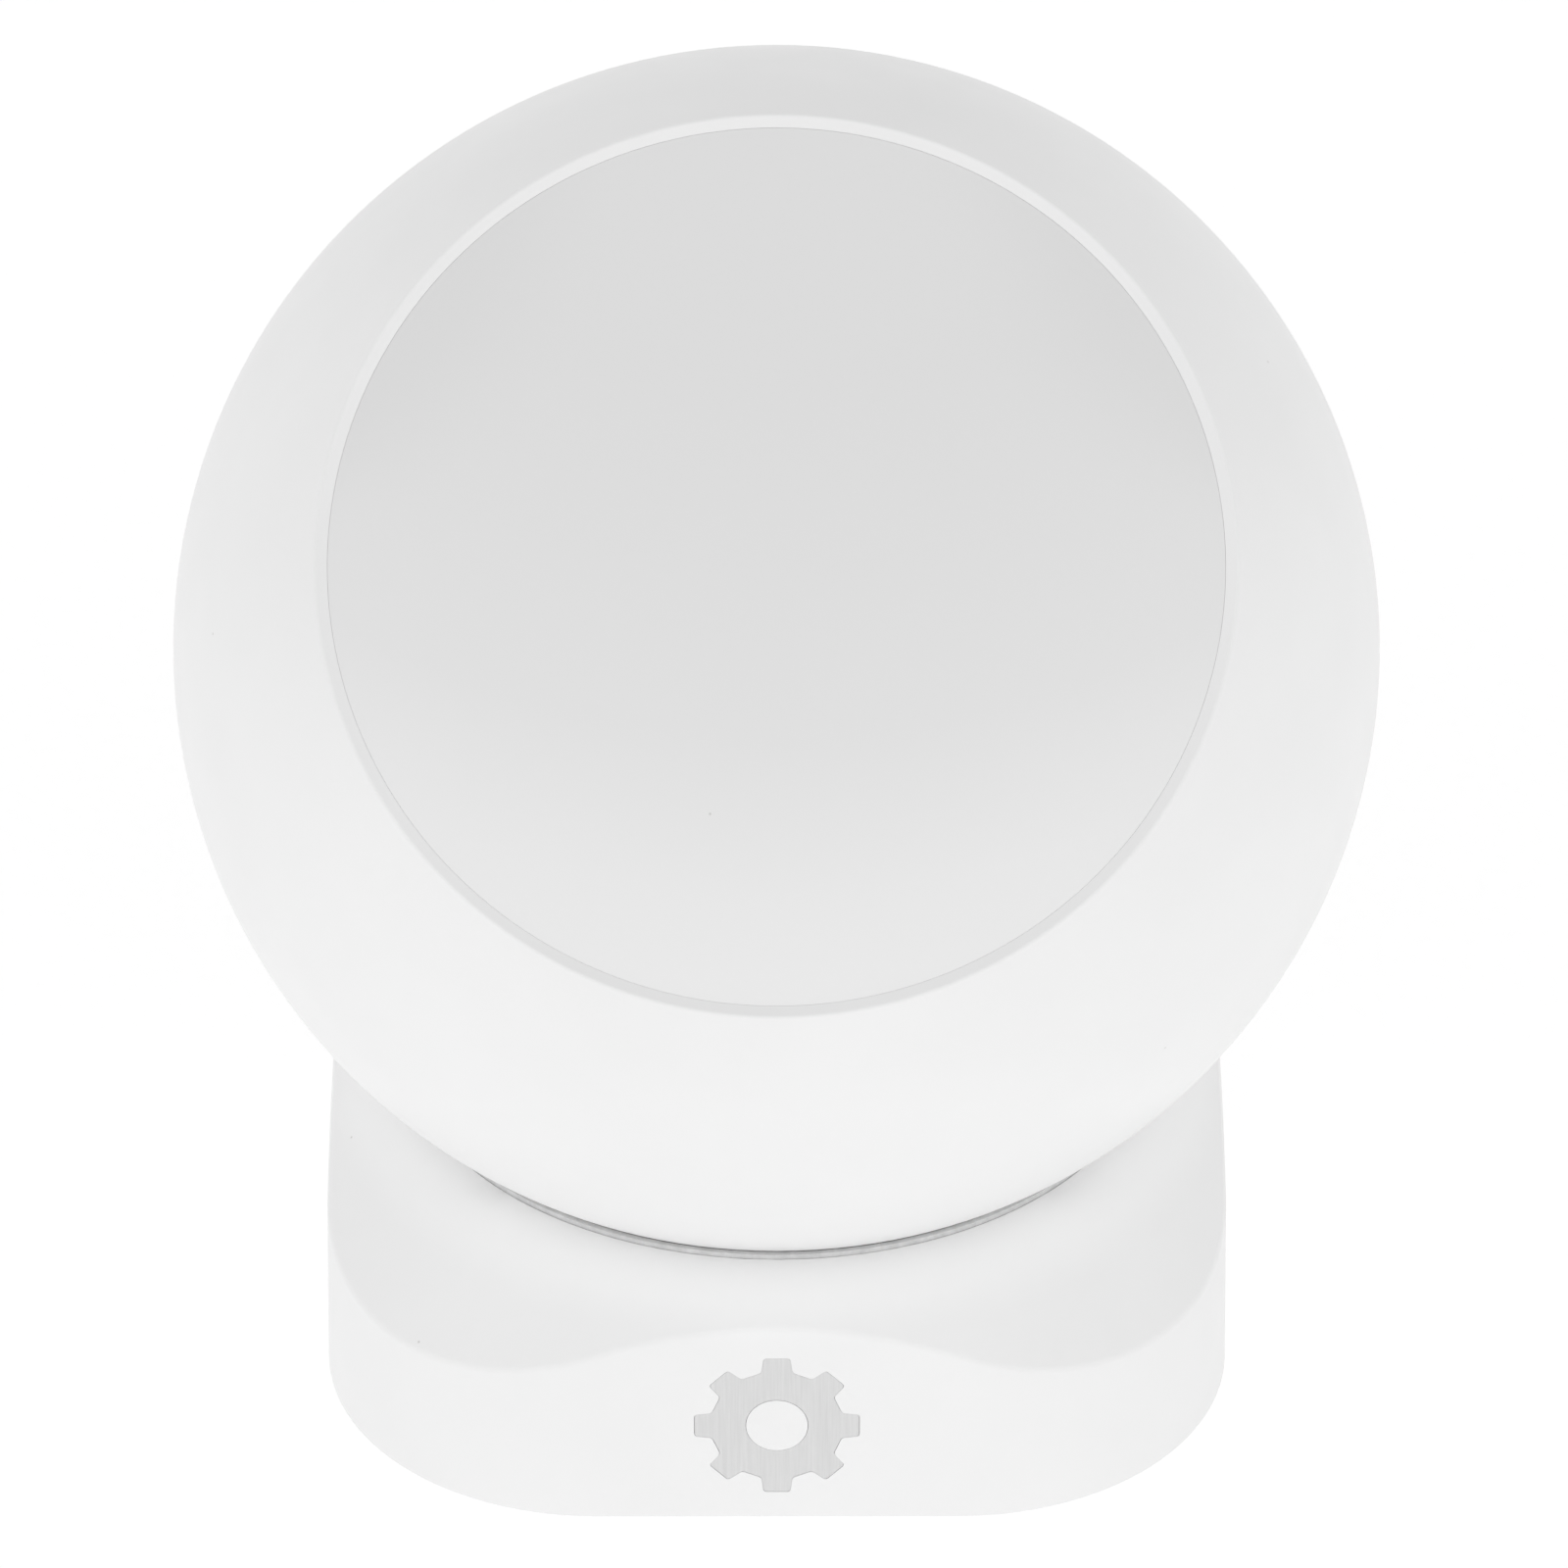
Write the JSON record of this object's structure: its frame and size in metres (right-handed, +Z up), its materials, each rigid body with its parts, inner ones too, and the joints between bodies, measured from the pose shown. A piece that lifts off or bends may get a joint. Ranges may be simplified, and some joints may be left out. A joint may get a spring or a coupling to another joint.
{
  "type": "desk coding robot",
  "caption": "Desk coding robot: white ball head with a round flat face that pans and nods in a rounded square base.",
  "frame": {"origin": "centre of the base's footprint on the surface that it stands on", "axes": "+Z up along the pan axis, -Y to the front, where the face looks, +X to the robot's own left, along the nod axis"},
  "size_m": [0.1, 0.0999, 0.1116],
  "materials": {
    "shell_white": "satin moulded white plastic, very fine spark-erosion grain",
    "face_white": "smooth matte white light diffuser",
    "seal_grey": "matte grey soft lip",
    "emblem_grey": "light grey printed inlay with a fine hatch",
    "underside_grey": "matte light grey plastic",
    "foot_rubber": "matte dark grey rubber",
    "button_grey": "satin light grey plastic",
    "nylon": "slightly waxy natural acetal",
    "dark_plastic": "matte dark plastic",
    "servo_blue": "glossy dark blue plastic",
    "steel": "zinc plated",
    "brass": "turned brass",
    "circuit_board": "green solder mask",
    "battery_foil": "matte silver pouch foil",
    "gasket_foam": "black closed cell foam"
  },
  "bodies": {
    "base": {"base_shell": "shell_white", "socket_seal": "seal_grey", "emblem": "emblem_grey", "bottom_plate": "underside_grey", "thrust_washer": "nylon", "retaining_ring": "steel", "pan_motor": "steel", "power_board": "circuit_board", "usb_c_socket": "steel", "power_switch": "dark_plastic", "foot_front_left": "foot_rubber", "base_screw_front_left": "steel", "foot_front_right": "foot_rubber", "base_screw_front_right": "steel", "foot_rear_left": "foot_rubber", "base_screw_rear_left": "steel", "foot_rear_right": "foot_rubber", "base_screw_rear_right": "steel", "power_board_screw_1": "steel", "power_board_screw_2": "steel", "pan_motor_screw_1": "steel", "pan_motor_screw_2": "steel"},
    "neck": {"pan_gear": "nylon", "neck_yoke": "dark_plastic", "neck_screw_1": "steel", "neck_screw_2": "steel", "neck_screw_3": "steel", "servo_horn": "nylon", "horn_screw": "steel", "pivot_bush": "brass"},
    "head": {"head_front_shell": "shell_white", "head_rear_shell": "shell_white", "face_disc": "face_white", "face_gasket": "gasket_foam", "led_board": "circuit_board", "led_matrix": "dark_plastic", "led_board_screw_1": "steel", "led_board_screw_2": "steel", "led_board_screw_3": "steel", "head_frame": "dark_plastic", "frame_screw_1": "steel", "frame_screw_2": "steel", "frame_screw_3": "steel", "tilt_servo": "servo_blue", "servo_screw_1": "steel", "servo_screw_2": "steel", "idler_screw": "steel", "battery_cell": "battery_foil", "battery_bracket": "dark_plastic", "battery_screw_1": "steel", "battery_screw_2": "steel", "speaker": "dark_plastic", "control_board": "circuit_board", "head_screw_1": "steel", "head_screw_2": "steel", "head_screw_3": "steel", "head_screw_4": "steel"},
    "drive_pinion": {"drive_pinion": "brass", "motor_shaft": "steel"},
    "power_button": {"power_button": "button_grey"}
  },
  "joints": [
    {"name": "head_pan", "type": "hinge", "parent": "base", "child": "neck", "pos_m": [0, 0, 0.0055], "axis": [0, 0, 1], "range_deg": [-150, 150]},
    {"name": "head_nod", "type": "hinge", "parent": "neck", "child": "head", "pos_m": [0, 0, 0.0616], "axis": [1, 0, 0], "range_deg": [-15, 15]},
    {"name": "pinion_spin", "type": "hinge", "parent": "base", "child": "drive_pinion", "pos_m": [-0.02036, -0.02036, 0.0055], "axis": [0, 0, 1], "range_deg": [-530, 530]},
    {"name": "power_press", "type": "slide", "parent": "base", "child": "power_button", "axis": [0, -1, 0], "range_m": [0, 0.0008], "stiffness_N_per_m": 600}
  ],
  "couplings": [
    {"joint": "pinion_spin", "follows": "head_pan", "ratio": -3.5}
  ]
}
